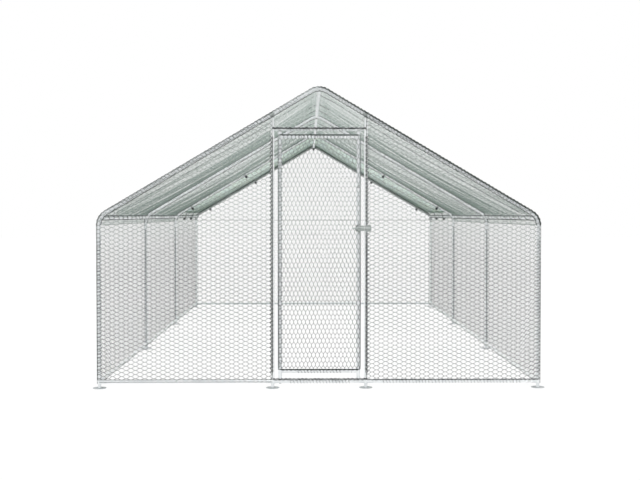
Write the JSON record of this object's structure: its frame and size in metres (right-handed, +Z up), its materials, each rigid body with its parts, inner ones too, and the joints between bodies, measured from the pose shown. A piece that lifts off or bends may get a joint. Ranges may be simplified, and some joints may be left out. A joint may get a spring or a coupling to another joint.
{
  "type": "walk_in_chicken_run",
  "caption": "Walk-in chicken run of galvanised tube hoops with a ridge roof, hexagon wire netting, a pivoting front door and a green cover over the rear bay",
  "frame": {"origin": "centre of the footprint on the ground, at the underside of the foot plates", "axes": "+X to the right seen from the front, +Y from the door towards the covered rear bay, +Z up"},
  "size_m": [3.065, 6.0648, 2.0398],
  "materials": {
    "galvanised_tube": "dull galvanised",
    "wire_netting": "galvanised wire",
    "foot_zinc": "galvanised plate",
    "latch_zinc": "dull zinc",
    "screw_zinc": "bright zinc",
    "bush_plastic": "matte",
    "cover_fabric": "woven, slightly glossy",
    "tie_rubber": "satin"
  },
  "bodies": {
    "run_frame": {"front_legs": "galvanised_tube", "front_eave_bends": "galvanised_tube", "front_rafters": "galvanised_tube", "front_ridge_bend": "galvanised_tube", "second_legs": "galvanised_tube", "second_eave_bends": "galvanised_tube", "second_rafters": "galvanised_tube", "second_ridge_bend": "galvanised_tube", "third_legs": "galvanised_tube", "third_eave_bends": "galvanised_tube", "third_rafters": "galvanised_tube", "third_ridge_bend": "galvanised_tube", "rear_legs": "galvanised_tube", "rear_eave_bends": "galvanised_tube", "rear_rafters": "galvanised_tube", "rear_ridge_bend": "galvanised_tube", "ridge_purlins": "galvanised_tube", "left_eave_purlins": "galvanised_tube", "right_eave_purlins": "galvanised_tube", "left_base_rails": "galvanised_tube", "right_base_rails": "galvanised_tube", "rear_base_rail": "galvanised_tube", "front_left_base_rail": "galvanised_tube", "front_right_base_rail": "galvanised_tube", "door_sill": "galvanised_tube", "corner_connectors": "galvanised_tube", "side_connectors": "galvanised_tube", "door_connectors": "galvanised_tube", "left_door_post": "galvanised_tube", "right_door_post": "galvanised_tube", "lintel": "galvanised_tube", "left_wall_net": "wire_netting", "right_wall_net": "wire_netting", "left_roof_net": "wire_netting", "right_roof_net": "wire_netting", "eave_net_strips": "wire_netting", "ridge_net_strip": "wire_netting", "front_left_net": "wire_netting", "front_right_net": "wire_netting", "front_gable_net": "wire_netting", "rear_wall_net": "wire_netting", "rear_gable_net": "wire_netting", "foot_plates": "foot_zinc", "rafter_clamps": "latch_zinc", "latch_keeper": "latch_zinc", "pivot_pins": "screw_zinc", "joint_screws": "screw_zinc", "cover": "cover_fabric", "cover_ties": "tie_rubber"},
    "door_leaf": {"hinge_stile": "galvanised_tube", "latch_stile": "galvanised_tube", "leaf_top_rail": "galvanised_tube", "leaf_bottom_rail": "galvanised_tube", "pivot_bushes": "bush_plastic", "latch_barrel": "latch_zinc", "barrel_screws": "screw_zinc", "door_net": "wire_netting"},
    "bolt": {"latch_bolt": "latch_zinc"}
  },
  "joints": [
    {"name": "door_hinge", "type": "hinge", "parent": "run_frame", "child": "door_leaf", "pos_m": [-0.265, -2.9875, 0], "axis": [0, 0, -1], "range_deg": [0, 130]},
    {"name": "bolt_slide", "type": "slide", "parent": "door_leaf", "child": "bolt", "axis": [1, 0, 0], "range_m": [0, 0.035]}
  ]
}
